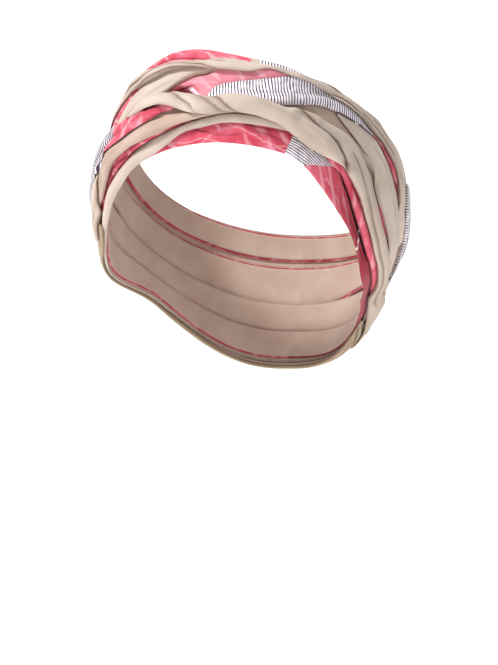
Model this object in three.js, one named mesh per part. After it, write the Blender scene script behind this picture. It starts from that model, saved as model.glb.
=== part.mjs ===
// Wound turban headwrap: eleven gathered cloth straps draped over a head, in millimetres.
// The wearer faces -Y, the wearer's left is +X, and the origin is the middle of the head hollow.
import * as THREE from "three";

// The head that the wrap is wound on. It shapes the hollow and isn't built.
const HEAD = {
  halfWidth: 77,
  halfLength: 97,
  up: 90,
  down: 110,
  roundness: 2.3,
  napeHalfWidth: 60,
};
// The straps lie along circles of latitude that rise toward the forehead by this angle.
const TILT = THREE.MathUtils.degToRad(32);
const SKIN = 0.3; // inner face of the lowest strap above the head
const GAP = 0.35; // clearance from strap to strap
const BEND_RADIUS = 65; // tightest bend along a strap, for how far a flat facet cuts inside its curve
const HEM = 1.0; // cloth thickness at a strap's long edges
const FRONT_PITCH = 7; // distance between sections where the wrap shows from the front
const BACK_PITCH = 13; // and round the back

const COLORS = { beige: 0xd3c5b1, coral: 0xdf6379, stripe: 0xcfc6ca };

// Straps from the lowest to the outermost. Each row is a section across the strap, by the angle round
// the head (0 at the forehead, + to the wearer's left) and the latitude, in degrees, and the strap's
// thickness in millimetres: [angle, low edge, high edge, thickness], or, where the section is turned,
// [low angle, low latitude, high angle, high latitude, thickness].
// lobes is how many pleats the section has, and crease is how deep the valleys between them are, as a
// part of the thickness.
const STRAPS = [
  {
    name: "base_band",
    color: COLORS.coral,
    loop: true,
    lobes: 2,
    crease: 0.1,
    rows: [
      [-180, -21.5, -11, 1.2],
      [-150, -23.5, -12, 1.2],
      [-120, -28, -16, 1.2],
      [-95, -33, -20, 1.2],
      [-75, -36, -22, 1.2],
      [-60, -34.5, -20, 1.2],
      [-48, -29, -16, 1.3],
      [-40, -25, -14, 1.4],
      [-30, -21, -11, 1.6],
      [-19, -19.5, -8.4, 1.8],
      [-8, -17.6, -6, 2],
      [8, -16.2, -4.8, 2],
      [28, -16, -4.6, 2],
      [36, -17.5, -6, 2],
      [44, -21, -9, 2],
      [55, -25.5, -13, 3],
      [68, -29.5, -17, 3.4],
      [79, -33.5, -20, 3.2],
      [92, -37, -21, 2.4],
      [110, -35.5, -19, 1.5],
      [132, -28.5, -15, 1.3],
      [156, -24.5, -12.5, 1.2],
      [180, -21.5, -11, 1.2],
    ],
  },
  {
    name: "edge_strap",
    color: COLORS.beige,
    loop: true,
    lobes: 1,
    crease: 0,
    rows: [
      [-180, -22.4, -17, 1.2],
      [-150, -24.4, -18, 1.2],
      [-120, -28.8, -23, 1.2],
      [-95, -33.8, -28.5, 1.2],
      [-75, -37, -31.5, 1.3],
      [-60, -36, -30.6, 1.6],
      [-48, -31, -26.4, 2],
      [-40, -27.2, -22.8, 2.4],
      [-33, -24.6, -20.4, 2.6],
      [-26, -21.9, -18.2, 2.6],
      [-20, -20.4, -15.7, 2.6],
      [-15, -19.1, -14.4, 2.6],
      [-10, -16.8, -13, 2.6],
      [-4, -13.4, -11.1, 2.6],
      [2, -12, -9, 2.6],
      [9, -10.4, -6.6, 2.6],
      [16, -9.9, -5.6, 2.4],
      [23, -9.4, -5.4, 2.2],
      [30, -9, -5, 1.6],
      [38, -9, -5, 1.2],
      [47, -10, -6, 1.2],
      [58, -13, -9, 1.2],
      [72, -18, -13, 1.2],
      [90, -23, -17, 1.2],
      [110, -24, -18, 1.2],
      [135, -23.4, -17.4, 1.2],
      [156, -23, -17.4, 1.2],
      [180, -22.4, -17, 1.2],
    ],
  },
  {
    name: "print_roll",
    color: COLORS.coral,
    loop: false,
    lobes: 1,
    crease: 0,
    rows: [
      [-70, -30.5, -27, 1],
      [-60, -29, -25, 1.2],
      [-50, -25.5, -21.5, 1.4],
      [-43.5, -22.4, -18.3, 1.9],
      [-38, -20.8, -16.6, 2.6],
      [-32, -19.6, -14.6, 3],
      [-26, -17.7, -14.2, 2.8],
      [-21, -16.6, -13.8, 2.4],
      [-14, -14.8, -12.4, 2],
      [-7, -12.4, -10.4, 1.4],
      [2, -9.2, -6.8, 1.2],
      [14, -6, -3, 1.2],
      [28, -6, -3, 1.2],
      [38, -9, -5.5, 1.6],
      [44, -12.6, -9, 2.2],
      [51, -14.6, -10.5, 2.8],
      [57, -18.4, -13, 3.2],
      [65, -23.6, -17.5, 3.4],
      [75, -28.2, -21.8, 3.4],
      [86, -31.5, -24, 3.2],
      [98, -32.5, -24, 2.8],
      [115, -29, -22, 2],
      [134, -22.8, -18.8, 1.4],
      [148, -20.6, -18, 1],
    ],
  },
  {
    name: "cross_strap",
    color: COLORS.beige,
    loop: false,
    lobes: 2,
    crease: 0.12,
    rows: [
      [-80, -27.5, -19, 1],
      [-70, -27, -17.6, 1.2],
      [-60, -26.5, -17, 1.2],
      [-50, -25, -16.6, 1.5],
      [-43, -22.6, -15.4, 2.4],
      [-38, -20.5, -13.8, 3.4],
      [-33, -18.1, -12.6, 4],
      [-27, -16.6, -10.6, 4.2],
      [-21, -16, -8, 4.2],
      [-13, -14.8, -5.4, 4],
      [-7, -12.6, -4, 3.4],
      [0, -10.4, -3.2, 2.4],
      [8, -8.2, -2, 1.6],
      [16, -6.6, -0.6, 1.4],
      [24, -5, 1.6, 1.8],
      [30, -4.4, 4, 2.2],
      [36, -4.4, 6.6, 2.6],
      [43, -4.6, 9, 2.8],
      [50, -6, 9.6, 2.8],
      [57, -9, 9.4, 2.4],
      [64, -12, 7.6, 2],
      [72, -15.4, 3.6, 1.6],
      [82, -18, -2.6, 1.4],
      [96, -19, -8.4, 1.2],
      [108, -18.4, -13, 1],
    ],
  },
  {
    name: "nape_strap",
    color: COLORS.beige,
    loop: false,
    lobes: 2,
    crease: 0.18,
    rows: [
      [-53, -33.5, -31, 1],
      [-57, -36, -25, 1.4],
      [-63, -37.4, -21, 1.6],
      [-72, -36.6, -18.6, 1.8],
      [-88, -34.8, -18.4, 2],
      [-105, -31.8, -18, 2.4],
      [-125, -28.6, -16.5, 3],
      [-150, -26.4, -13.5, 3],
      [-180, -25.4, -12, 3],
      [-200, -26.6, -13.5, 3.4],
      [-208, -27, -17, 2.6],
      [-215, -27, -21.4, 1.6],
      [-220, -26.6, -24.6, 1],
    ],
  },
  {
    name: "crown_strap",
    color: COLORS.coral,
    loop: true,
    lobes: 1,
    crease: 0,
    rows: [
      [-180, 13, 21.5, 1.8],
      [-150, 13, 22, 1.8],
      [-120, 12, 22, 2],
      [-90, 11, 22.4, 2.2],
      [-60, 10.4, 23.4, 1.2],
      [-40, 9.6, 24.2, 1.6],
      [-25, 8.6, 24.6, 2.6],
      [-17, 8.6, 24.3, 3.2],
      [-10, 8.4, 23, 3.2],
      [-3, 8, 21.2, 3],
      [5, 7.6, 18, 3.6],
      [13, 8.6, 16, 3.8],
      [22, 8.4, 15.4, 4],
      [30, 8.6, 15, 3.4],
      [36, 10, 16, 2],
      [43, 10, 16.2, 1.6],
      [52, 11, 18.4, 1.4],
      [70, 12, 20, 1.4],
      [95, 10, 20, 1.4],
      [125, 10, 19.5, 1.4],
      [155, 12, 20.5, 1.6],
      [180, 13, 21.5, 1.8],
    ],
  },
  {
    name: "right_strap",
    color: COLORS.beige,
    loop: false,
    lobes: 3,
    crease: 0.22,
    rows: [
      [43.4, 4.3, 43.4, 5.3, 1],
      [50.5, 1.4, 50.7, 6.2, 2],
      [59.5, -1.2, 61.5, 8.5, 3],
      [63.5, -4.6, 70, 10, 4],
      [69.5, -6.6, 78, 10, 4.2],
      [73.5, -9.4, 86, 8, 4.2],
      [82, -13, 95, 5, 4.2],
      [92, -16.4, 105, -1.6, 4],
      [104, -18, 115, -3.6, 3.4],
      [120, -17.4, 128, -3.6, 2.6],
      [140, -16, 143, -2, 2.2],
      [160, -14.6, 160, -1, 2],
      [180, -14, 180, -1, 2],
      [205, -14, 205, -1, 2],
      [230, -15, 230, -2, 2],
      [255, -18, 256, -4.6, 2],
      [277, -21, 281, -8, 2],
      [293, -22.8, 298, -9.4, 2],
      [301.5, -23, 309, -10.4, 2],
      [304, -23.4, 315, -13.6, 2.2],
      [304, -25.6, 314.5, -19, 2.6],
      [303, -28.4, 311, -25, 2.8],
      [302, -31, 307.5, -29.4, 2.4],
      [301.5, -33, 304.6, -32.2, 1.8],
      [301.6, -34.6, 302.7, -34.3, 1],
    ],
  },
  {
    name: "upper_strap",
    color: COLORS.coral,
    loop: true,
    lobes: 2,
    crease: 0.25,
    rows: [
      [-180, -3, 11, 1.8],
      [-150, -3, 11, 1.8],
      [-120, -4, 10, 1.8],
      [-90, -6, 7, 1.4],
      [-70, -8, 6, 1.1],
      [-52, -9, 6.4, 1.2],
      [-40, -9.4, 7, 1.6],
      [-31, -9, 8, 2.8],
      [-25.5, -8, 9, 3.8],
      [-20, -8, 9.6, 3.8],
      [-15, -8, 10, 3.8],
      [-9, -7.5, 11, 3.8],
      [-3, -4.8, 10.6, 3.6],
      [7, -4.8, 10, 3.6],
      [14, -4.4, 10, 3.8],
      [21, -3.6, 10.6, 4],
      [25.5, -1.6, 10.8, 4],
      [30, 0.8, 11, 3.8],
      [38, 4, 12.8, 3.4],
      [45, 5.2, 13, 3],
      [51, 6, 13, 2.6],
      [58, 6.8, 13, 2.2],
      [66, 8, 13, 1.8],
      [75, 8.4, 13, 1.8],
      [84, 6, 12.4, 1.8],
      [93, 5, 11.4, 1.8],
      [105, 2, 10, 1.8],
      [130, -1, 9.6, 1.6],
      [155, 0, 11, 1.6],
      [180, -3, 11, 1.8],
    ],
  },
  {
    name: "top_strap",
    color: COLORS.beige,
    loop: true,
    lobes: 3,
    crease: 0.25,
    rows: [
      [-180, 9, 22.4, 2.4],
      [-150, 9, 22.6, 2.4],
      [-120, 8, 21.6, 2.4],
      [-95, 5.6, 18.6, 1.6],
      [-75, 4.4, 15, 1.2],
      [-55, 4, 12.4, 1.1],
      [-38, 5, 10.6, 1.5],
      [-31, 4.8, 11.2, 2.4],
      [-25, 5.4, 10.3, 3.2],
      [-17.5, 6.2, 10.4, 4],
      [-12, 7.4, 10.4, 4],
      [-4, 7.6, 10.2, 3.6],
      [4, 6.4, 10.8, 2.6],
      [12.5, 6.8, 10.5, 1.4],
      [19, 8.8, 10, 1.2],
      [28.5, 8.4, 10, 1.4],
      [36, 8.8, 12.6, 2.4],
      [42, 8.4, 14.4, 2.8],
      [48, 9, 15.8, 3.6],
      [54, 10.2, 17.4, 3.8],
      [62, 10, 19.2, 3.8],
      [71, 10, 21.2, 3.8],
      [82, 7.6, 22, 3.8],
      [95, 3.4, 21.6, 3.6],
      [106, 0, 20.6, 3.2],
      [118, -1.6, 19.4, 2.8],
      [134, 0, 20, 2.6],
      [154, 5, 21.4, 2.4],
      [180, 9, 22.4, 2.4],
    ],
  },
  {
    name: "twist_strap",
    color: COLORS.beige,
    loop: false,
    lobes: 3,
    crease: 0.2,
    rows: [
      [-24.5, -6.4, -24.5, -5.6, 1.8],
      [-17.5, -5.9, -17.6, -1.2, 4],
      [-11.5, -6.2, -13.6, -0.6, 4.6],
      [-5.8, -7.6, -7.3, -2.1, 4],
      [-0.6, -9.4, -2.3, -2.6, 4],
      [4, -9.6, 3.9, -3.8, 4],
      [10.6, -8.1, 10.8, -3.2, 4],
      [17.2, -7.9, 18.2, -3.2, 4.2],
      [23.9, -8.8, 25, -3.4, 4.4],
      [30.1, -10.6, 30.8, -1.8, 4.6],
      [36.4, -12.3, 38.6, -1.6, 4.8],
      [43, -13, 47, -0.8, 5],
      [48.6, -12.8, 55, -1.4, 5],
      [53, -14.6, 61, -2.6, 5],
      [57, -16.4, 66, -4.8, 4.8],
      [61, -18.6, 71, -9.4, 4.6],
      [66, -22.2, 77.6, -13.4, 4.4],
      [74, -26, 85.6, -17.2, 4.2],
      [85, -30, 95, -20, 4],
      [99, -32, 107, -20, 3.6],
      [113, -31, 120, -18.6, 3.2],
      [130, -26.6, 134, -16.6, 2.6],
      [146, -22.6, 147, -15.4, 1.8],
      [158, -20, 158, -17.4, 1],
    ],
  },
  {
    name: "side_strap",
    color: COLORS.stripe,
    loop: false,
    lobes: 3,
    crease: 0.2,
    rows: [
      [-10.5, -8.3, -10.8, -7.4, 1],
      [-16, -9.7, -18.2, -6.6, 2],
      [-24, -12, -24.6, -5.9, 2.8],
      [-31.6, -14, -29.6, -4.8, 3],
      [-37.5, -14.9, -34.5, -3.6, 2.6],
      [-46, -16, -43, -2.6, 3.2],
      [-57, -16, -56, -1, 4.6],
      [-70, -16, -70, 1.6, 5.6],
      [-86, -14.5, -86, 4, 5],
      [-106, -12, -106, 6, 4.2],
      [-130, -9.4, -130, 7.6, 3.2],
      [-155, -8.6, -155, 8.8, 3.2],
      [-180, -9, -180, 9.6, 3.2],
      [-200, -12.6, -199, 11, 2.6],
      [-207, -15, -211, 13.4, 1.8],
      [-213, -16, -224, 15.6, 1.5],
      [-218, -16, -237, 16.6, 1.4],
      [-222, -15, -248, 16.4, 1.4],
      [-225.5, -12.6, -256, 15, 1.4],
      [-228.5, -9.6, -260, 13.4, 1.2],
      [-231, -6.4, -262.5, 11, 1],
    ],
  },
];

// Unit vector from the middle of the head for an angle round it and a latitude.
function direction(angle, latitude) {
  const a = THREE.MathUtils.degToRad(angle);
  const b = THREE.MathUtils.degToRad(latitude);
  const y = -Math.cos(b) * Math.cos(a);
  const z = Math.sin(b);
  return new THREE.Vector3(
    Math.cos(b) * Math.sin(a),
    y * Math.cos(TILT) + z * Math.sin(TILT),
    -y * Math.sin(TILT) + z * Math.cos(TILT),
  );
}

// Distance from the middle of the head to its surface: a rounded egg, narrower toward the nape.
function headRadius(dir) {
  const low = THREE.MathUtils.smoothstep(-dir.z, 0.2, 1);
  const behind = THREE.MathUtils.smoothstep(dir.y, -0.4, 0.2);
  const halfWidth =
    HEAD.halfWidth - (HEAD.halfWidth - HEAD.napeHalfWidth) * low * behind;
  const n = HEAD.roundness;
  const sum =
    Math.abs(dir.x / halfWidth) ** n +
    Math.abs(dir.y / HEAD.halfLength) ** n +
    Math.abs(dir.z / (dir.z > 0 ? HEAD.up : HEAD.down)) ** n;
  return sum ** (-1 / n);
}

function pointAt(angle, latitude, height) {
  const dir = direction(angle, latitude);
  return dir.multiplyScalar(headRadius(dir) + height);
}

// Smooth curve without overshoot through the values ys at the places xs.
function smoothCurve(xs, ys, loop) {
  const n = xs.length;
  const slope = ys.slice(1).map((y, k) => (y - ys[k]) / (xs[k + 1] - xs[k]));
  const blend = (a, b) => (a * b > 0 ? (2 * a * b) / (a + b) : 0);
  const tangent = ys.map((_, k) => {
    if (k > 0 && k < n - 1) return blend(slope[k - 1], slope[k]);
    if (loop) return blend(slope[n - 2], slope[0]);
    return k === 0 ? slope[0] : slope[n - 2];
  });
  return (x) => {
    let k = xs.findIndex((value) => value > x) - 1;
    if (k < 0) k = x < xs[0] ? 0 : n - 2;
    const step = xs[k + 1] - xs[k];
    const t = (x - xs[k]) / step;
    return (
      ys[k] * (1 + 2 * t) * (1 - t) ** 2 +
      ys[k + 1] * t * t * (3 - 2 * t) +
      step * (tangent[k] * t * (1 - t) ** 2 - tangent[k + 1] * t * t * (1 - t))
    );
  };
}

// The sections of a strap, closer together where the wrap shows from the front.
function sectionsOf(strap) {
  const rows = strap.rows.map((row) =>
    row.length === 4 ? [row[0], row[1], row[0], row[2], row[3]] : row,
  );
  const middles = rows.map(([lowU, lowV, highU, highV]) =>
    pointAt((lowU + highU) / 2, (lowV + highV) / 2, 0),
  );
  const along = [0];
  for (let k = 1; k < rows.length; k++)
    along.push(along[k - 1] + middles[k].distanceTo(middles[k - 1]));
  const columns = [0, 1, 2, 3, 4].map((c) =>
    smoothCurve(
      along,
      rows.map((row) => row[c]),
      strap.loop,
    ),
  );
  const length = along.at(-1);
  const angleAt = (x) => (columns[0](x) + columns[2](x)) / 2;
  const pitchAt = (x) => {
    const fromFront = 180 - Math.abs(180 - (Math.abs(angleAt(x)) % 360));
    const back = THREE.MathUtils.smoothstep(fromFront, 80, 125);
    return THREE.MathUtils.lerp(FRONT_PITCH, BACK_PITCH, back);
  };
  const fine = 2000;
  const count = [0];
  for (let k = 1; k <= fine; k++)
    count.push(count[k - 1] + length / fine / pitchAt(((k - 0.5) * length) / fine));
  const steps = Math.round(count[fine]);
  const sections = [];
  let k = 0;
  for (let i = 0; i <= steps - (strap.loop ? 1 : 0); i++) {
    while (k < fine && count[k] < (i * count[fine]) / steps - 1e-9) k++;
    const x = (k * length) / fine;
    const [lowU, lowV, highU, highV, thick] = columns.map((f) => f(x));
    sections.push({ lowU, lowV, highU, highV, thick });
  }
  return sections;
}

// Where a section has its points, from the low edge (0) to the high edge (1), and how much of the
// strap's thickness stands there.
function outerShape(strap) {
  if (strap.lobes === 1)
    return [
      { at: 0, rise: 0 },
      { at: 0.16, rise: 0.72 },
      { at: 0.5, rise: 1 },
      { at: 0.84, rise: 0.72 },
      { at: 1, rise: 0 },
    ];
  const points = [];
  for (let k = 0; k <= 2 * strap.lobes; k++) {
    const end = k === 0 || k === 2 * strap.lobes;
    const at = k / (2 * strap.lobes);
    const crown = 0.86 + 0.14 * Math.sin(Math.PI * at);
    points.push({ at, rise: end ? 0 : k % 2 ? crown : crown - strap.crease });
  }
  return points;
}

// What lies on the head so far: the height of the cloth above the head, on a grid of 1 by 0.5 degrees.
class Cover {
  static columns = 360;
  static rows = 240;
  static perDegree = 2;
  static lowest = -60;

  constructor() {
    this.height = new Float64Array(Cover.columns * Cover.rows);
  }

  cell(u, v) {
    const column = ((Math.round(u) % 360) + 360) % 360;
    const row = Math.round((v - Cover.lowest) * Cover.perDegree);
    return THREE.MathUtils.clamp(row, 0, Cover.rows - 1) * Cover.columns + column;
  }

  // Highest cloth in the cell at u, v and the eight round it.
  at(u, v) {
    let top = 0;
    for (const du of [-1, 0, 1])
      for (const dv of [-0.5, 0, 0.5])
        top = Math.max(top, this.height[this.cell(u + du, v + dv)]);
    return top;
  }

  raise(u, v, height) {
    const cell = this.cell(u, v);
    this.height[cell] = Math.max(this.height[cell], height);
  }
}

const wrapIndex = (i, n, loop) =>
  loop ? (i + n) % n : THREE.MathUtils.clamp(i, 0, n - 1);

// Angle and latitude in a strap at section i (with a fraction) and place s across it.
function chartPoint(sections, i, s, loop) {
  const n = sections.length;
  const k = Math.floor(i);
  const f = i - k;
  const a = sections[wrapIndex(k, n, loop)];
  const b = sections[wrapIndex(k + 1, n, loop)];
  const turn = loop && k + 1 >= n ? 360 : loop && k < 0 ? -360 : 0;
  const mix = (p, q) => THREE.MathUtils.lerp(p, q, f);
  const shiftA = loop && k < 0 ? turn : 0;
  const shiftB = loop && k + 1 >= n ? turn : 0;
  const u0 = mix(a.lowU + shiftA, b.lowU + shiftB);
  const u1 = mix(a.highU + shiftA, b.highU + shiftB);
  const v0 = mix(a.lowV, b.lowV);
  const v1 = mix(a.highV, b.highV);
  return [
    THREE.MathUtils.lerp(u0, u1, s),
    THREE.MathUtils.lerp(v0, v1, s),
  ];
}

// Height of a strap's inner face at each section and place, above all that lies under its neighbourhood.
function drape(sections, places, cover, loop) {
  const n = sections.length;
  const reach = 4;
  const middle = (i) => {
    const [u, v] = chartPoint(sections, wrapIndex(i, n, loop), 0.5, loop);
    return pointAt(u, v, 0);
  };
  const heights = sections.map((_, i) => {
    const pitch = middle(i).distanceTo(middle(i === 0 ? 1 : i - 1));
    const clearance = GAP + pitch ** 2 / (8 * BEND_RADIUS);
    return places.map((s, j) => {
      let top = 0;
      const before = j > 0 ? places[j - 1] : s;
      const after = j < places.length - 1 ? places[j + 1] : s;
      for (let di = -reach; di <= reach; di++)
        for (let dj = -reach; dj <= reach; dj++) {
          const place = dj < 0 ? THREE.MathUtils.lerp(s, before, -dj / reach) : THREE.MathUtils.lerp(s, after, dj / reach);
          const station = i + di / reach;
          if (!loop && (station < 0 || station > n - 1)) continue;
          const [u, v] = chartPoint(sections, station, place, loop);
          top = Math.max(top, cover.at(u, v));
        }
      return top > 0 ? top + clearance : SKIN;
    });
  });
  // Cloth is stiff across small steps: it is lifted, never lowered, toward the mean of its neighbours.
  for (let pass = 0; pass < 1; pass++) {
    const old = heights.map((row) => [...row]);
    old.forEach((row, i) =>
      row.forEach((height, j) => {
        const mean =
          (old[wrapIndex(i - 1, n, loop)][j] +
            old[wrapIndex(i + 1, n, loop)][j] +
            row[Math.max(j - 1, 0)] +
            row[Math.min(j + 1, row.length - 1)]) /
          4;
        heights[i][j] = Math.max(height, (height + mean) / 2);
      }),
    );
  }
  return heights;
}

function strapMesh(strap, cover) {
  const sections = sectionsOf(strap);
  const n = sections.length;
  const outer = outerShape(strap);
  const innerCount = strap.lobes === 1 ? 3 : strap.lobes === 2 ? 4 : 5;
  const places = Array.from({ length: innerCount }, (_, j) => j / (innerCount - 1));
  const inner = drape(sections, places, cover, strap.loop);
  const innerAt = (i, s) => {
    const x = s * (innerCount - 1);
    const j = Math.min(Math.floor(x), innerCount - 2);
    return THREE.MathUtils.lerp(inner[i][j], inner[i][j + 1], x - j);
  };
  const outerHeights = sections.map((section, i) =>
    outer.map(({ at, rise }) =>
      innerAt(i, at) + HEM + Math.max(section.thick - HEM, 0) * rise,
    ),
  );

  const ring = outer.length + innerCount;
  const positions = [];
  sections.forEach((_, i) => {
    outer.forEach(({ at }, j) =>
      positions.push(...pointAt(...chartPoint(sections, i, at, strap.loop), outerHeights[i][j])),
    );
    for (let j = innerCount - 1; j >= 0; j--)
      positions.push(...pointAt(...chartPoint(sections, i, places[j], strap.loop), inner[i][j]));
  });
  const faces = [];
  const spans = strap.loop ? n : n - 1;
  for (let i = 0; i < spans; i++)
    for (let j = 0; j < ring; j++) {
      const a = i * ring + j;
      const b = i * ring + ((j + 1) % ring);
      const c = ((i + 1) % n) * ring + j;
      const d = ((i + 1) % n) * ring + ((j + 1) % ring);
      faces.push(a, c, b, b, c, d);
    }
  if (!strap.loop)
    for (let j = 1; j < ring - 1; j++) {
      faces.push(0, j, j + 1);
      const end = (n - 1) * ring;
      faces.push(end, end + j + 1, end + j);
    }
  const runsBackward = sections[n - 1].lowU < sections[0].lowU;
  if (runsBackward)
    for (let k = 0; k < faces.length; k += 3)
      [faces[k + 1], faces[k + 2]] = [faces[k + 2], faces[k + 1]];

  // The cover rises to this strap's outer face.
  const fine = 12;
  for (let i = 0; i < spans; i++)
    for (let a = 0; a <= fine; a++)
      for (let j = 0; j < outer.length - 1; j++)
        for (let b = 0; b <= fine; b++) {
          const f = a / fine;
          const g = b / fine;
          const place = THREE.MathUtils.lerp(outer[j].at, outer[j + 1].at, g);
          const [u, v] = chartPoint(sections, i + f, place, strap.loop);
          const next = outerHeights[(i + 1) % n];
          const height = THREE.MathUtils.lerp(
            THREE.MathUtils.lerp(outerHeights[i][j], next[j], f),
            THREE.MathUtils.lerp(outerHeights[i][j + 1], next[j + 1], f),
            g,
          );
          cover.raise(u, v, height);
        }

  const geometry = new THREE.BufferGeometry();
  geometry.setAttribute("position", new THREE.Float32BufferAttribute(positions, 3));
  geometry.setIndex(faces);
  geometry.computeVertexNormals();
  const material = new THREE.MeshStandardMaterial({
    color: strap.color,
    roughness: 0.9,
    metalness: 0,
  });
  const mesh = new THREE.Mesh(geometry, material);
  mesh.name = strap.name;
  return mesh;
}

const headwrap = new THREE.Group();
headwrap.name = "turban_headwrap";
const cover = new Cover();
for (const strap of STRAPS) headwrap.add(strapMesh(strap, cover));

export default headwrap;
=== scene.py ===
"""Wound turban headwrap: eleven gathered cloth straps, draped one over the other round a hollow."""
import math

import bpy
import numpy as np
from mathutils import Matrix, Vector


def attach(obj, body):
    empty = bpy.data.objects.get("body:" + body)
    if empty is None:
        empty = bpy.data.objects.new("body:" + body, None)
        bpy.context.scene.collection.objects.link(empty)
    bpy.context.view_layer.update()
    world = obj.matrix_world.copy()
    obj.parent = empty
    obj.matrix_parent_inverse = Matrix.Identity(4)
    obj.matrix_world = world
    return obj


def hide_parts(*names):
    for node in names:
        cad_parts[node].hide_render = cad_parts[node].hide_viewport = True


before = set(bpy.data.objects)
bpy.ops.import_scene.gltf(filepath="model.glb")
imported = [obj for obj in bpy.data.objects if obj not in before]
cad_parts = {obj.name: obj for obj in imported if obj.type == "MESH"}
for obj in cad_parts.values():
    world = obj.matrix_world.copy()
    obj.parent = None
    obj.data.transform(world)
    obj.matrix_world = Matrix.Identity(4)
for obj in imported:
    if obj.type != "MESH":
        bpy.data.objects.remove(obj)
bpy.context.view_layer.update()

# Lengths in the tables are millimetres and angles are degrees. The wearer faces -Y.
MM = 0.001

# The head that the wrap is wound on, as in the CAD model.
HALF_WIDTH = 77.0
HALF_LENGTH = 97.0
HEAD_UP = 90.0
HEAD_DOWN = 110.0
ROUNDNESS = 2.3
NAPE_HALF_WIDTH = 60.0
TILT = math.radians(32)

# How the straps lie.
SKIN = 0.3  # height of the lowest strap above the head
GAP = 0.15  # clearance from strap to strap
HEM = 0.3  # thickness of the cloth itself
TAUTNESS = 140  # rounds in which the cloth pulls itself smooth over what is below it
HEAD_CURVE = 90.0  # radius of the head, for the pull of the taut cloth toward it

# How fine the mesh is.
FRONT_PITCH = 0.8  # from section to section where the wrap shows from the front
BACK_PITCH = 1.8  # and round the back
PLACE_PITCH = 0.36  # across a strap
FEWEST_PLACES = 20
MOST_PLACES = 84
INNER_PLACES = 12  # across a strap's inner face

# The section of a strap.
UNDERCUT = math.radians(-50)  # how far round the rolled long edges turn under
CROWDING = 0.45  # how much closer the points lie toward the long edges
DOME = 0.35  # how much thinner a strap is at its edges than in the middle
FOLD_SCALE = 1.35  # factor on the depths in FOLDS
LEAN = 0.8  # how far the steep side of a fold laps over, as a part of its depth
STEEP = 0.8  # longest reach of a side that laps over
FOLD_FADE = 7.0  # over how long a run a fold starts and ends
EDGE_SHADE = 0.8  # how much painted shade darkens the turned-under edges
INNER_SHADE = 0.2  # and the inner face, also painted shade

# Sections of each strap, from start to end: angle round the head (0 at the forehead, + to the wearer's left),
# latitude of the low edge, latitude of the high edge, thickness. In a row of five values each edge has its
# own angle, before its latitude.
BASE_BAND = [
    [-180, -21.5, -11, 1.2],
    [-150, -23.5, -12, 1.2],
    [-120, -28, -16, 1.2],
    [-95, -33, -20, 1.2],
    [-75, -36, -22, 1.2],
    [-60, -34.5, -20, 1.2],
    [-48, -29, -16, 1.3],
    [-40, -25, -14, 1.4],
    [-30, -21, -11, 1.6],
    [-19, -19.5, -8.4, 1.8],
    [-8, -17.6, -6, 2],
    [8, -16.2, -4.8, 2],
    [28, -16, -4.6, 2],
    [36, -17.5, -6, 2],
    [44, -21, -9, 2],
    [55, -25.5, -13, 3],
    [68, -29.5, -17, 3.4],
    [79, -33.5, -20, 3.2],
    [92, -37, -21, 2.4],
    [110, -35.5, -19, 1.5],
    [132, -28.5, -15, 1.3],
    [156, -24.5, -12.5, 1.2],
    [180, -21.5, -11, 1.2],
]
EDGE_STRAP = [
    [-180, -22.4, -17, 1.2],
    [-150, -24.4, -18, 1.2],
    [-120, -28.8, -23, 1.2],
    [-95, -33.8, -28.5, 1.2],
    [-75, -37, -31.5, 1.3],
    [-60, -36, -30.6, 1.6],
    [-48, -31, -26.4, 2],
    [-40, -27.2, -22.8, 2.4],
    [-33, -24.6, -20.4, 2.6],
    [-26, -21.9, -18.2, 2.6],
    [-20, -20.4, -15.7, 2.6],
    [-15, -19.1, -14.4, 2.6],
    [-10, -16.8, -13, 2.6],
    [-4, -13.4, -11.1, 2.6],
    [2, -12, -9, 2.6],
    [9, -10.4, -6.6, 2.6],
    [16, -9.9, -5.6, 2.4],
    [23, -9.4, -5.4, 2.2],
    [30, -9, -5, 1.6],
    [38, -9, -5, 1.2],
    [47, -10, -6, 1.2],
    [58, -13, -9, 1.2],
    [72, -18, -13, 1.2],
    [90, -23, -17, 1.2],
    [110, -24, -18, 1.2],
    [135, -23.4, -17.4, 1.2],
    [156, -23, -17.4, 1.2],
    [180, -22.4, -17, 1.2],
]
PRINT_ROLL = [
    [-70, -30.5, -27, 1],
    [-60, -29, -25, 1.2],
    [-50, -25.5, -21.5, 1.4],
    [-43.5, -22.4, -18.3, 1.9],
    [-38, -20.8, -16.6, 2.6],
    [-32, -19.6, -14.6, 3],
    [-26, -17.7, -14.2, 2.8],
    [-21, -16.6, -13.8, 2.4],
    [-14, -14.8, -12.4, 2],
    [-7, -12.4, -10.4, 1.4],
    [2, -9.2, -6.8, 1.2],
    [14, -6, -3, 1.2],
    [28, -6, -3, 1.2],
    [38, -9, -5.5, 1.6],
    [44, -12.6, -9, 2.2],
    [51, -14.6, -10.5, 2.8],
    [57, -18.4, -13, 3.2],
    [65, -23.6, -17.5, 3.4],
    [75, -28.2, -21.8, 3.4],
    [86, -31.5, -24, 3.2],
    [98, -32.5, -24, 2.8],
    [115, -29, -22, 2],
    [134, -22.8, -18.8, 1.4],
    [148, -20.6, -18, 1],
]
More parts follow.
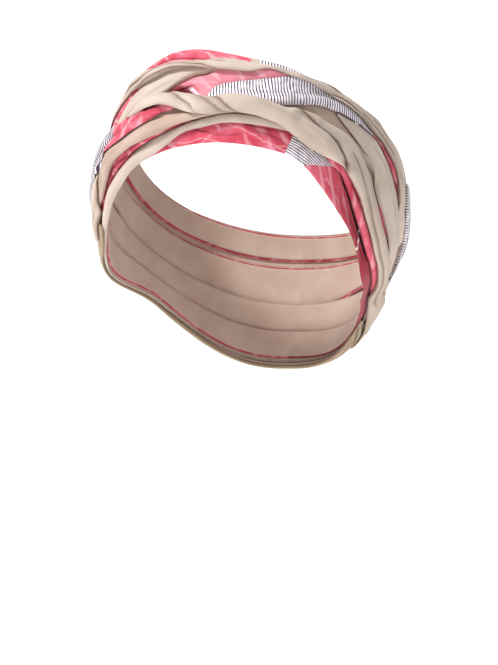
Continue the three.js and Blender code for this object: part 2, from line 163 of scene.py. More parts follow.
CROSS_STRAP = [
    [-80, -27.5, -19, 1],
    [-70, -27, -17.6, 1.2],
    [-60, -26.5, -17, 1.2],
    [-50, -25, -16.6, 1.5],
    [-43, -22.6, -15.4, 2.4],
    [-38, -20.5, -13.8, 3.4],
    [-33, -18.1, -12.6, 4],
    [-27, -16.6, -10.6, 4.2],
    [-21, -16, -8, 4.2],
    [-13, -14.8, -5.4, 4],
    [-7, -12.6, -4, 3.4],
    [0, -10.4, -3.2, 2.4],
    [8, -8.2, -2, 1.6],
    [16, -6.6, -0.6, 1.4],
    [24, -5, 1.6, 1.8],
    [30, -4.4, 4, 2.2],
    [36, -4.4, 6.6, 2.6],
    [43, -4.6, 9, 2.8],
    [50, -6, 9.6, 2.8],
    [57, -9, 9.4, 2.4],
    [64, -12, 7.6, 2],
    [72, -15.4, 3.6, 1.6],
    [82, -18, -2.6, 1.4],
    [96, -19, -8.4, 1.2],
    [108, -18.4, -13, 1],
]
NAPE_STRAP = [
    [-53, -33.5, -31, 1],
    [-57, -36, -25, 1.4],
    [-63, -37.4, -21, 1.6],
    [-72, -36.6, -18.6, 1.8],
    [-88, -34.8, -18.4, 2],
    [-105, -31.8, -18, 2.4],
    [-125, -28.6, -16.5, 3],
    [-150, -26.4, -13.5, 3],
    [-180, -25.4, -12, 3],
    [-200, -26.6, -13.5, 3.4],
    [-208, -27, -17, 2.6],
    [-215, -27, -21.4, 1.6],
    [-220, -26.6, -24.6, 1],
]
CROWN_STRAP = [
    [-180, 13, 21.5, 1.8],
    [-150, 13, 22, 1.8],
    [-120, 12, 22, 2],
    [-90, 11, 22.4, 2.2],
    [-60, 10.4, 23.4, 1.2],
    [-40, 9.6, 24.2, 1.6],
    [-25, 8.6, 24.6, 2.6],
    [-17, 8.6, 24.3, 3.2],
    [-10, 8.4, 23, 3.2],
    [-3, 8, 21.2, 3],
    [5, 7.6, 18, 3.6],
    [13, 8.6, 16, 3.8],
    [22, 8.4, 15.4, 4],
    [30, 8.6, 15, 3.4],
    [36, 10, 16, 2],
    [43, 10, 16.2, 1.6],
    [52, 11, 18.4, 1.4],
    [70, 12, 20, 1.4],
    [95, 10, 20, 1.4],
    [125, 10, 19.5, 1.4],
    [155, 12, 20.5, 1.6],
    [180, 13, 21.5, 1.8],
]
RIGHT_STRAP = [
    [43.4, 4.3, 43.4, 5.3, 1],
    [50.5, 1.4, 50.7, 6.2, 2],
    [59.5, -1.2, 61.5, 8.5, 3],
    [63.5, -4.6, 70, 10, 4],
    [69.5, -6.6, 78, 10, 4.2],
    [73.5, -9.4, 86, 8, 4.2],
    [82, -13, 95, 5, 4.2],
    [92, -16.4, 105, -1.6, 4],
    [104, -18, 115, -3.6, 3.4],
    [120, -17.4, 128, -3.6, 2.6],
    [140, -16, 143, -2, 2.2],
    [160, -14.6, 160, -1, 2],
    [180, -14, 180, -1, 2],
    [205, -14, 205, -1, 2],
    [230, -15, 230, -2, 2],
    [255, -18, 256, -4.6, 2],
    [277, -21, 281, -8, 2],
    [293, -22.8, 298, -9.4, 2],
    [301.5, -23, 309, -10.4, 2],
    [304, -23.4, 315, -13.6, 2.2],
    [304, -25.6, 314.5, -19, 2.6],
    [303, -28.4, 311, -25, 2.8],
    [302, -31, 307.5, -29.4, 2.4],
    [301.5, -33, 304.6, -32.2, 1.8],
    [301.6, -34.6, 302.7, -34.3, 1],
]
UPPER_STRAP = [
    [-180, -3, 11, 1.8],
    [-150, -3, 11, 1.8],
    [-120, -4, 10, 1.8],
    [-90, -6, 7, 1.4],
    [-70, -8, 6, 1.1],
    [-52, -9, 6.4, 1.2],
    [-40, -9.4, 7, 1.6],
    [-31, -9, 8, 2.8],
    [-25.5, -8, 9, 3.8],
    [-20, -8, 9.6, 3.8],
    [-15, -8, 10, 3.8],
    [-9, -7.5, 11, 3.8],
    [-3, -4.8, 10.6, 3.6],
    [7, -4.8, 10, 3.6],
    [14, -4.4, 10, 3.8],
    [21, -3.6, 10.6, 4],
    [25.5, -1.6, 10.8, 4],
    [30, 0.8, 11, 3.8],
    [38, 4, 12.8, 3.4],
    [45, 5.2, 13, 3],
    [51, 6, 13, 2.6],
    [58, 6.8, 13, 2.2],
    [66, 8, 13, 1.8],
    [75, 8.4, 13, 1.8],
    [84, 6, 12.4, 1.8],
    [93, 5, 11.4, 1.8],
    [105, 2, 10, 1.8],
    [130, -1, 9.6, 1.6],
    [155, 0, 11, 1.6],
    [180, -3, 11, 1.8],
]
TOP_STRAP = [
    [-180, 9, 22.4, 2.4],
    [-150, 9, 22.6, 2.4],
    [-120, 8, 21.6, 2.4],
    [-95, 5.6, 18.6, 1.6],
    [-75, 4.4, 15, 1.2],
    [-55, 4, 12.4, 1.1],
    [-38, 5, 10.6, 1.5],
    [-31, 4.8, 11.2, 2.4],
    [-25, 5.4, 10.3, 3.2],
    [-17.5, 6.2, 10.4, 4],
    [-12, 7.4, 10.4, 4],
    [-4, 7.6, 10.2, 3.6],
    [4, 6.4, 10.8, 2.6],
    [12.5, 6.8, 10.5, 1.4],
    [19, 8.8, 10, 1.2],
    [28.5, 8.4, 10, 1.4],
    [36, 8.8, 12.6, 2.4],
    [42, 8.4, 14.4, 2.8],
    [48, 9, 15.8, 3.6],
    [54, 10.2, 17.4, 3.8],
    [62, 10, 19.2, 3.8],
    [71, 10, 21.2, 3.8],
    [82, 7.6, 22, 3.8],
    [95, 3.4, 21.6, 3.6],
    [106, 0, 20.6, 3.2],
    [118, -1.6, 19.4, 2.8],
    [134, 0, 20, 2.6],
    [154, 5, 21.4, 2.4],
    [180, 9, 22.4, 2.4],
]
TWIST_STRAP = [
    [-24.5, -6.4, -24.5, -5.6, 1.8],
    [-17.5, -5.9, -17.6, -1.2, 4],
    [-11.5, -6.2, -13.6, -0.6, 4.6],
    [-5.8, -7.6, -7.3, -2.1, 4],
    [-0.6, -9.4, -2.3, -2.6, 4],
    [4, -9.6, 3.9, -3.8, 4],
    [10.6, -8.1, 10.8, -3.2, 4],
    [17.2, -7.9, 18.2, -3.2, 4.2],
    [23.9, -8.8, 25, -3.4, 4.4],
    [30.1, -10.6, 30.8, -1.8, 4.6],
    [36.4, -12.3, 38.6, -1.6, 4.8],
    [43, -13, 47, -0.8, 5],
    [48.6, -12.8, 55, -1.4, 5],
    [53, -14.6, 61, -2.6, 5],
    [57, -16.4, 66, -4.8, 4.8],
    [61, -18.6, 71, -9.4, 4.6],
    [66, -22.2, 77.6, -13.4, 4.4],
    [74, -26, 85.6, -17.2, 4.2],
    [85, -30, 95, -20, 4],
    [99, -32, 107, -20, 3.6],
    [113, -31, 120, -18.6, 3.2],
    [130, -26.6, 134, -16.6, 2.6],
    [146, -22.6, 147, -15.4, 1.8],
    [158, -20, 158, -17.4, 1],
]
SIDE_STRAP = [
    [-10.6, -8.05, -10.7, -7.75, 0.5],
    [-16, -9.7, -18.2, -6.6, 1.6],
    [-24, -12, -24.6, -5.9, 2.8],
    [-31.6, -14, -29.6, -4.8, 3],
    [-37.5, -14.9, -34.5, -3.6, 2.6],
    [-46, -16, -43, -2.6, 3.2],
    [-57, -16, -56, -1, 4.6],
    [-70, -16, -70, 1.6, 5.6],
    [-86, -14.5, -86, 4, 5],
    [-106, -12, -106, 6, 4.2],
    [-130, -9.4, -130, 7.6, 3.2],
    [-155, -8.6, -155, 8.8, 3.2],
    [-180, -9, -180, 9.6, 3.2],
    [-200, -12.6, -199, 11, 2.6],
    [-207, -15, -211, 13.4, 1.8],
    [-213, -16, -224, 15.6, 1.5],
    [-218, -16, -237, 16.6, 1.4],
    [-222, -15, -248, 16.4, 1.4],
    [-225.5, -12.6, -256, 15, 1.4],
    [-228.5, -9.6, -260, 13.4, 1.2],
    [-231, -6.4, -262.5, 11, 1],
]

# Folds in a strap: [depth, reach toward the low edge, reach toward the high edge, then angle and place
# across the strap (0 low edge, 1 high edge) of each point that the fold runs through]. A short reach is a
# steep side, where one pleat laps over the next; a negative depth is a ridge.
FOLDS = {}
FOLDS["base_band"] = [
    [0.8, 0.8, 1.6, -4, 0.5, 8, 0.18, 17, 0.29],
    [1, 0.7, 2.5, 10, 0.66, 19, 0.53, 30, 0.62],
    [0.9, 0.7, 2, 15, 0.42, 24, 0.34, 31, 0.2],
    [0.7, 1.5, 0.7, -30, 0.5, -16, 0.6, -4, 0.72],
    [3.4, 1.6, 1.8, 50, 0.84, 56, 0.74, 63, 0.5, 72, 0.36, 86, 0.36],
    [1, 1, 2, 58, 0.3, 70, 0.15, 84, 0.12],
    [0.5, 1, 2, 100, 0.4, 150, 0.5, 179, 0.4],
    [0.5, 2, 1, -178, 0.5, -130, 0.4, -60, 0.5],
]
FOLDS["edge_strap"] = [
    [1.2, 0.6, 1.4, -6, 0.8, 1, 0.72, 6, 0.66, 10, 0.62, 24, 0.58],
    [0.6, 1.2, 0.6, -40, 0.7, -28, 0.76, -14, 0.74],
]
FOLDS["print_roll"] = [
    [2.4, 0.6, 1.2, -50, 0.3, -42, 0.33, -33, 0.36, -23, 0.26],
    [1.4, 1.2, 1.2, 54, 0.5, 66, 0.55, 90, 0.5],
]
FOLDS["cross_strap"] = [
    [1.8, 0.6, 2.5, 26, 0.72, 30, 0.53, 33, 0.43, 36, 0.24, 40, 0.02],
    [0.6, 2, 1.2, -46, 0.3, -36, 0.36, -22, 0.3],
    [0.5, 1.4, 2.4, -30, 0.72, -16, 0.66, -4, 0.6],
    [0.9, 2, 0.8, 42, 0.7, 50, 0.62, 62, 0.5],
]
FOLDS["nape_strap"] = [
    [1.4, 2.4, 0.8, -246, 0.5, -225, 0.4, -180, 0.42, -120, 0.36, -62, 0.5],
    [1.2, 0.8, 2.4, -240, 0.75, -205, 0.7, -150, 0.72, -90, 0.66, -66, 0.72],
    [0.8, 1.6, 0.8, -215, 0.18, -160, 0.2, -100, 0.18],
]
FOLDS["crown_strap"] = [
    [1.2, 2.2, 0.8, -80, 0.4, -40, 0.5, -18, 0.56, 4, 0.5],
    [1, 0.8, 2, -60, 0.76, -30, 0.8, -8, 0.74],
    [0.9, 2, 0.8, 10, 0.5, 40, 0.45, 90, 0.5, 150, 0.45],
    [1, 0.8, 2.4, -178, 0.55, -130, 0.6, -90, 0.7],
]
FOLDS["right_strap"] = [
    [1, 2.2, 1.4, 60, 0.5, 70, 0.52, 84, 0.48, 104, 0.45],
    [0.9, 0.8, 2.2, 66, 0.8, 80, 0.78, 100, 0.74, 130, 0.7],
    [1, 2, 0.8, 110, 0.35, 160, 0.4, 220, 0.35, 290, 0.4],
    [0.8, 0.8, 2, 140, 0.7, 200, 0.68, 280, 0.66],
    [0.9, 1.6, 1, 299, 0.62, 305, 0.5, 312, 0.4],
]
FOLDS["upper_strap"] = [
    [3.4, 1.4, 1, -16, 0.4, -12, 0.44, -7, 0.42, -3, 0.34],
    [3.2, 2.6, 0.6, -24, 0, -16, 0.36, -12, 0.55, -8, 0.67, -3, 0.78, 4, 0.84],
    [2.6, 1.8, 1.4, -16, 0.16, -10, 0.28, -6, 0.32, 0, 0.2],
    [1.2, 1.6, 0.8, -9, 0.46, -4, 0.5, -2, 0.4, 1, 0.15],
    [1.4, 0.6, 2.2, 2, 0.3, 5, 0.48, 9, 0.56, 13, 0.63, 20, 0.74, 26, 0.84, 32, 0.92],
    [1.2, 1.4, 0.7, -40, 0.5, -33, 0.61, -27, 0.78, -20, 0.92],
    [0.7, 2.6, 1.2, -34, 0.16, -24, 0.4, -16, 0.62, -8, 0.72],
    [0.6, 1.6, 1.6, 14, 0.3, 26, 0.36, 44, 0.45],
    [1.4, 2.4, 0.8, -150, 0.3, -100, 0.35, -60, 0.3],
    [1.2, 0.8, 2.4, -140, 0.66, -90, 0.62, -48, 0.7],
    [1.3, 0.8, 2.4, 88, 0.6, 120, 0.55, 170, 0.6],
    [1.1, 2.4, 0.8, 92, 0.28, 130, 0.3, 175, 0.25],
]
FOLDS["top_strap"] = [
    [1.4, 1.2, 0.6, -33, 0.05, -30, 0.28, -22, 0.46, -16, 0.64, -10, 0.62, -4, 0.5, 2, 0.26, 8, 0],
    [1.4, 1.2, 0.6, -27, 0.04, -22, 0.22, -16, 0.3, -10, 0.28, -4, 0.14, 0, 0],
    [1, 1.2, 0.6, -22, 0.8, -12, 0.84, -2, 0.74, 8, 0.5],
    [2, 1.6, 0.6, 28, 0.78, 37, 0.74, 44, 0.64, 52, 0.55, 60, 0.5, 70, 0.42, 80, 0.34]
    + [95, 0.3, 120, 0.34, 150, 0.4],
    [1.8, 1.4, 0.6, 34, 0.24, 43, 0.32, 50, 0.26, 58, 0.2, 66, 0.16, 78, 0.12, 92, 0.12],
    [1.6, 1.2, 0.6, 40, 0.9, 52, 0.86, 62, 0.78, 74, 0.68, 88, 0.6, 110, 0.6, 150, 0.66],
    [1.4, 1, 0.6, 50, 0.42, 62, 0.35, 72, 0.28, 84, 0.2, 100, 0.2],
    [1.2, 0.6, 1.4, 60, 0.66, 72, 0.55, 84, 0.47, 100, 0.45, 130, 0.5],
    [1.2, 1.2, 0.6, 66, 0.9, 78, 0.84, 92, 0.76, 110, 0.78, 140, 0.82],
    [1.6, 2.6, 0.8, -170, 0.4, -120, 0.35, -70, 0.4, -44, 0.5],
    [1.2, 0.8, 2.4, -172, 0.7, -110, 0.7, -52, 0.75],
]
FOLDS["twist_strap"] = [
    [2, 3, 1, -17, 0.96, -10, 0.8, -5, 0.6, -2, 0.38, 0, 0.14, 2, 0],
    [1.8, 2.8, 1, -8, 0.96, -2, 0.87, 3, 0.64, 7, 0.34, 10, 0.13, 13, 0],
    [2.4, 3.2, 0.5, -2, 0.98, 2, 0.89, 6, 0.69, 10, 0.36, 14, 0.16, 19, 0],
    [3.8, 3.6, 0.6, 27, 0.9, 34, 0.75, 38, 0.7, 43, 0.62, 48, 0.42, 52, 0.23, 58, 0.02],
    [1.8, 1, 2.4, 30, 0.96, 41, 0.9, 47, 0.88, 53, 0.8, 60, 0.62, 70, 0.5, 88, 0.46, 120, 0.44],
    [1.3, 2, 0.8, 48, 0.62, 56, 0.42, 64, 0.26, 76, 0.2, 100, 0.2, 130, 0.24],
    [3, 1, 2.4, 50, 0.92, 58, 0.76, 66, 0.76, 76, 0.76, 84, 0.78, 96, 0.72, 130, 0.7],
    [0.5, 2.4, 2.4, 16, 0.62, 24, 0.55, 34, 0.45],
]
FOLDS["side_strap"] = [
    [0.9, 2.2, 0.9, -13, 0.5, -22, 0.56, -33, 0.58, -60, 0.6],
    [1.2, 0.8, 2.4, -35, 0.3, -46, 0.33, -70, 0.28, -110, 0.3, -160, 0.34],
    [1.2, 2.2, 0.8, -60, 0.72, -100, 0.66, -150, 0.7, -190, 0.66],
    [1.6, 2, 0.8, -180, 0.5, -205, 0.48, -225, 0.5, -246, 0.5],
    [1.4, 0.8, 2.2, -190, 0.75, -215, 0.76, -240, 0.74],
    [1.2, 1.6, 0.8, -195, 0.24, -220, 0.25, -244, 0.26],
]

# The straps from the lowest to the outermost: rows, whether it is a ring, factor on the thickness, how far
# the long edges roll, and height of the wrinkles.
STRAPS = {
    "base_band": dict(rows=BASE_BAND, loop=True, fullness=1, roll=1.4, wrinkle=0.15),
    "edge_strap": dict(rows=EDGE_STRAP, loop=True, fullness=1.25, roll=2.6, wrinkle=0.08),
    "print_roll": dict(rows=PRINT_ROLL, loop=False, fullness=1.25, roll=2.8, wrinkle=0.15),
    "cross_strap": dict(rows=CROSS_STRAP, loop=False, fullness=1.3, roll=3.6, wrinkle=0.08),
    "nape_strap": dict(rows=NAPE_STRAP, loop=False, fullness=1.2, roll=3.2, wrinkle=0.2),
    "crown_strap": dict(rows=CROWN_STRAP, loop=True, fullness=1.3, roll=3, wrinkle=0.2),
    "right_strap": dict(rows=RIGHT_STRAP, loop=False, fullness=1.3, roll=3.8, wrinkle=0.12),
    "upper_strap": dict(rows=UPPER_STRAP, loop=True, fullness=1.25, roll=3.4, wrinkle=0.15),
    "top_strap": dict(rows=TOP_STRAP, loop=True, fullness=1.3, roll=3.4, wrinkle=0.12),
    "twist_strap": dict(rows=TWIST_STRAP, loop=False, fullness=1.35, roll=4.6, wrinkle=0.12),
    "side_strap": dict(rows=SIDE_STRAP, loop=False, fullness=1.35, roll=3.8, wrinkle=0.15),
}


def step(x, low, high):
    """0 below low, 1 above high, smooth between."""
    t = np.clip((x - low) / (high - low), 0, 1)
    return t * t * (3 - 2 * t)


def direction(angle, latitude):
    """Unit vector from the middle of the head. Circles of latitude are tilted, high at the forehead."""
    a = np.radians(angle)
    b = np.radians(latitude)
    y = -np.cos(b) * np.cos(a)
    z = np.sin(b)
    turned_y = y * math.cos(TILT) + z * math.sin(TILT)
    turned_z = -y * math.sin(TILT) + z * math.cos(TILT)
    return np.stack([np.cos(b) * np.sin(a), turned_y, turned_z], -1)


def head_radius(d):
    """Distance to the head's surface: a rounded egg, narrower toward the nape."""
    x, y, z = d[..., 0], d[..., 1], d[..., 2]
    narrowing = step(-z, 0.2, 1) * step(y, -0.4, 0.2)
    half_width = HALF_WIDTH - (HALF_WIDTH - NAPE_HALF_WIDTH) * narrowing
    half_height = np.where(z > 0, HEAD_UP, HEAD_DOWN)
    total = (
        np.abs(x / half_width) ** ROUNDNESS
        + np.abs(y / HALF_LENGTH) ** ROUNDNESS
        + np.abs(z / half_height) ** ROUNDNESS
    )
    return total ** (-1 / ROUNDNESS)


def point_at(angle, latitude, height):
    """Point at a height above the head."""
    d = direction(angle, latitude)
    return d * (head_radius(d) + height)[..., None]


def smooth_curve(xs, ys, x, loop):
    """Smooth curve without overshoot through the values ys at the places xs, at each x."""
    gap = np.diff(xs)
    slope = np.diff(ys) / gap
    blend = lambda a, b: np.where(a * b > 0, 2 * a * b / np.where(a + b == 0, 1, a + b), 0)
    tangent = np.empty(len(xs))
    tangent[1:-1] = blend(slope[:-1], slope[1:])
    tangent[0] = blend(slope[-1], slope[0]) if loop else slope[0]
    tangent[-1] = tangent[0] if loop else slope[-1]
    k = np.clip(np.searchsorted(xs, x, side="right") - 1, 0, len(xs) - 2)
    t = (x - xs[k]) / gap[k]
    ends = ys[k] * (1 + 2 * t) * (1 - t) ** 2 + ys[k + 1] * t * t * (3 - 2 * t)
    lean = gap[k] * (tangent[k] * t * (1 - t) ** 2 - tangent[k + 1] * t * t * (1 - t))
    return ends + lean


def sections_of(rows, loop):
    """Low and high corner, thickness and distance along the strap of its cross sections."""
    table = np.array([r if len(r) == 5 else [r[0], r[1], r[0], r[2], r[3]] for r in rows], float)
    angles = (table[:, 0] + table[:, 2]) / 2
    latitudes = (table[:, 1] + table[:, 3]) / 2
    middles = point_at(angles, latitudes, np.zeros(len(table)))
    along = np.concatenate([[0], np.cumsum(np.linalg.norm(np.diff(middles, axis=0), axis=1))])
    fine = np.linspace(0, along[-1], 4001)
    low_u = smooth_curve(along, table[:, 0], fine, loop)
    high_u = smooth_curve(along, table[:, 2], fine, loop)
    from_front = 180 - np.abs(180 - np.abs((low_u + high_u) / 2) % 360)
    pitch = FRONT_PITCH + (BACK_PITCH - FRONT_PITCH) * step(from_front, 95, 130)
    count = np.concatenate([[0], np.cumsum(np.diff(fine) / ((pitch[1:] + pitch[:-1]) / 2))])
    steps = int(round(count[-1]))
    wanted = np.arange(steps if loop else steps + 1) * count[-1] / steps
    x = np.interp(wanted, count, fine)
    columns = [smooth_curve(along, table[:, c], x, loop) for c in range(5)]
    return x, along[-1], columns


class Cover:
    """Height of the cloth that lies on the head so far, on a grid of angle and latitude."""

    per_degree = 4
    lowest = -60
    rows = 480
    columns = 1440
    parts_along = 6
    parts_across = 3

    def __init__(self):
        self.height = np.zeros((self.rows, self.columns))

    def cell(self, u, v):
        """Row and column of the grid at angle u and latitude v."""
        column = np.round(u * self.per_degree).astype(int) % self.columns
        row = np.clip(np.round((v - self.lowest) * self.per_degree).astype(int), 0, self.rows - 1)
        return row, column

    def under(self, u, v):
        """Greatest height at or next to angle u and latitude v."""
        near = self.height.copy()
        for dr in (-1, 0, 1):
            for dc in (-1, 0, 1):
                near = np.maximum(near, np.roll(self.height, (dr, dc), (0, 1)))
        return near[self.cell(u, v)]

    def raise_to(self, u, v, height):
        """Adds a strap, with points in between its own so that no cell is missed."""
        for a in np.arange(self.parts_along) / self.parts_along:
            for b in np.arange(self.parts_across) / self.parts_across:
                mix = [self.between(field, a, b) for field in (u, v, height)]
                np.maximum.at(self.height, self.cell(mix[0], mix[1]), mix[2])

    @staticmethod
    def between(field, a, b):
        """Values a of the way to the next section and b of the way to the next place."""
        row = field[:-1] * (1 - a) + field[1:] * a
        return row[:, :-1] * (1 - b) + row[:, 1:] * b


def neighbours(h, loop):
    """Heights of the points before, after, below and above each point."""
    before = np.roll(h, 1, 0)
    after = np.roll(h, -1, 0)
    if not loop:
        before[0] = h[0]
        after[-1] = h[-1]
    low = np.concatenate([h[:, :1], h[:, :-1]], 1)
    high = np.concatenate([h[:, 1:], h[:, -1:]], 1)
    return before, after, low, high


def drape(floor, dx, dy, loop):
    """Lays cloth over the floor heights: it rests on what is high and spans what is hollow."""
    along = 1 / dx**2
    across = 1 / dy**2
    pull = 1 / HEAD_CURVE / (along + across)
    h = floor.copy()
    for _ in range(TAUTNESS):
        before, after, low, high = neighbours(h, loop)
        mean = (along * (before + after) + across * (low + high)) / (2 * (along + across))
        h = np.maximum(floor, mean - pull)
    for _ in range(3):
        before, after, low, high = neighbours(h, loop)
        h = np.maximum(h, (4 * h + before + after + low + high) / 8)
    return h


def lattice(x, y, seed, period=None):
    """Smooth random heights from -1 to 1, with one bump to each unit of x and y."""
    rng = np.random.default_rng(seed)
    grid = rng.uniform(-1, 1, (257, 257))
    if period:
        x = x % period
    i = np.floor(x).astype(int)
    j = np.floor(y).astype(int)
    fx = x - i
    fy = y - j
    fx = fx * fx * (3 - 2 * fx)
    fy = fy * fy * (3 - 2 * fy)
    wrap = (lambda k: k % period) if period else (lambda k: k % 256)
    at = lambda a, b: grid[wrap(a) % 257, b % 256]
    low = at(i, j) * (1 - fx) + at(i + 1, j) * fx
    high = at(i, j + 1) * (1 - fx) + at(i + 1, j + 1) * fx
    return low * (1 - fy) + high * fy


def wrinkles(x, y, length, loop, seed):
    """Long low ripples that lie nearly along the strap, about 1 mm high at most."""
    total = np.zeros_like(x)
    sizes = [(42, 5.5, 0.10, 0.55), (24, 3.2, -0.14, 0.35), (13, 2.0, 0.2, 0.18)]
    for k, (long, wide, slant, height) in enumerate(sizes):
        cells = max(int(round(length / long)), 3) if loop else None
        scaled = x * cells / length if loop else x / long
        drift = slant * long * np.sin(x / length * 2 * np.pi * 3)
        total += height * lattice(scaled, (y + drift) / wide + 40, seed * 10 + k, cells)
    return total


def fold_shape(folds, middle, x, place, width):
    """How far the folds sink the cloth, and how far their steep sides lean over, and how shaded they are."""
    sunk = np.zeros_like(width[:, None] * place[None, :])
    lean = np.zeros_like(sunk)
    crease_shade = np.zeros_like(sunk)
    for depth, low_reach, high_reach, *points in folds:
        angles = np.array(points[0::2], float)
        places = np.array(points[1::2], float)
        order = np.argsort(angles)
        angles = angles[order]
        places = places[order]
        centre = smooth_curve(angles, places, np.clip(middle, angles[0], angles[-1]), False)
        inside = (middle > angles[0]) & (middle < angles[-1])
        if not inside.any():
            continue
        run = x[inside]
        start, end = run.min(), run.max()
        fade = min(FOLD_FADE, (end - start) / 3)
        strength = step(x, start, start + fade) * (1 - step(x, end - fade, end)) * inside
        off = (place[None, :] - centre[:, None]) * width[:, None]
        reach = np.where(off < 0, low_reach, high_reach)
        blunt = 0.12 if depth > 0 else 1.0
        sunk += FOLD_SCALE * depth * strength[:, None] * np.exp(-(np.sqrt(off**2 + blunt**2) - blunt) / reach)
        if depth > 0:
            # Painted shade along the crease line of each fold.
            shade = min(depth / 1.6, 1) * strength[:, None] * np.exp(-np.abs(off) / (0.3 + 0.2 * reach))
            crease_shade = np.maximum(crease_shade, shade)
        if depth > 0 and min(low_reach, high_reach) <= STEEP:
            way = 1 if low_reach < high_reach else -1
            near = np.maximum(-off * way, 0) / LEAN
            lean += way * min(depth, 2.0) * LEAN * strength[:, None] * near * np.exp(1 - near)
    return sunk, lean, crease_shade


def between_edges(low, high, part):
    """Angle or latitude a part of the way from the low to the high edge, at each section."""
    return low[:, None] * (1 - part) + high[:, None] * part


def strap_shape(name, spec, cover, seed):
    """Angles, latitudes and outer and inner heights of a strap, and its cloth coordinates."""
    loop = spec["loop"]
    x, length, (low_u, low_v, high_u, high_v, thick) = sections_of(spec["rows"], loop)
    ends = point_at(low_u, low_v, np.zeros(len(x))), point_at(high_u, high_v, np.zeros(len(x)))
    width = np.linalg.norm(ends[1] - ends[0], axis=1)
    count = int(np.clip(round(width.max() / PLACE_PITCH), FEWEST_PLACES, MOST_PLACES))
    t = np.linspace(0, 1, count + 1)
    place = t * (1 - CROWDING) + (1 - np.cos(np.pi * t)) / 2 * CROWDING
    u = between_edges(low_u, high_u, place)
    v = between_edges(low_v, high_v, place)
    under = cover.under(u, v)
    floor = np.where(under > 0, under + GAP, SKIN)
    dx = length / len(x)
    dy = max(float(np.median(width)) / count, 0.25)
    inner = drape(floor, dx, dy, loop)

    wide = width[:, None]
    roll = np.minimum(spec["roll"], wide * 0.48)
    to_edge = np.minimum(place[None, :], 1 - place[None, :]) * wide
    turn = UNDERCUT + (math.pi / 2 - UNDERCUT) * np.clip(to_edge / roll, 0, 1)
    inset = np.where(to_edge < roll, roll * (1 - np.cos(turn)), to_edge)
    side = np.where(place[None, :] < 0.5, inset / wide, 1 - inset / wide)
    edge = (np.sin(turn) - math.sin(UNDERCUT)) / (1 - math.sin(UNDERCUT))
    across = (side - 0.5) * wide
    dome = 1 - DOME * (2 * place[None, :] - 1) ** 2
    body = thick[:, None] * spec["fullness"] * edge * dome
    middle = (low_u + high_u) / 2
    sunk, lean, crease_shade = fold_shape(FOLDS.get(name, []), middle, x, place, width)
    # Painted shade under the turned-under edges.
    crease_shade = np.maximum(crease_shade, EDGE_SHADE - EDGE_SHADE * step(turn, UNDERCUT, 0.4))
    leaned = side + lean * edge**2 / wide
    u = between_edges(low_u, high_u, leaned)
    v = between_edges(low_v, high_v, leaned)
    ripple = wrinkles(np.broadcast_to(x[:, None], across.shape), across, length, loop, seed)
    body = body - sunk * edge**2 + ripple * spec["wrinkle"] * edge
    outer = inner + HEM + np.maximum(body, 0.2 * edge)

    first = side[:, :1]
    lining = np.linspace(0, 1, INNER_PLACES)[None, :]
    inner_side = first + (1 - 2 * first) * lining
    index = np.interp(inner_side, place, np.arange(len(place)))
    k = np.clip(np.floor(index).astype(int), 0, len(place) - 2)
    rows = np.arange(len(x))[:, None]
    inner_height = inner[rows, k] * (1 - index + k) + inner[rows, k + 1] * (index - k)
    inner_u = between_edges(low_u, high_u, inner_side)
    inner_v = between_edges(low_v, high_v, inner_side)
    return dict(
        x=x,
        length=length,
        middle=middle,
        u=u,
        v=v,
        outer=outer,
        ring_u=np.concatenate([u, inner_u[:, ::-1]], 1),
        ring_v=np.concatenate([v, inner_v[:, ::-1]], 1),
        ring_height=np.concatenate([outer, inner_height[:, ::-1]], 1),
        ring_across=np.concatenate([across, (inner_side[:, ::-1] - 0.5) * wide], 1),
        ring_place=np.concatenate([side, inner_side[:, ::-1]], 1),
        ring_shade=np.concatenate([crease_shade, np.full_like(inner_side, INNER_SHADE)], 1),
    )


def closed(field, turn, loop):
    """Adds the first section again at the end of a ring."""
    if not loop:
        return field
    return np.concatenate([field, field[:1] + turn])


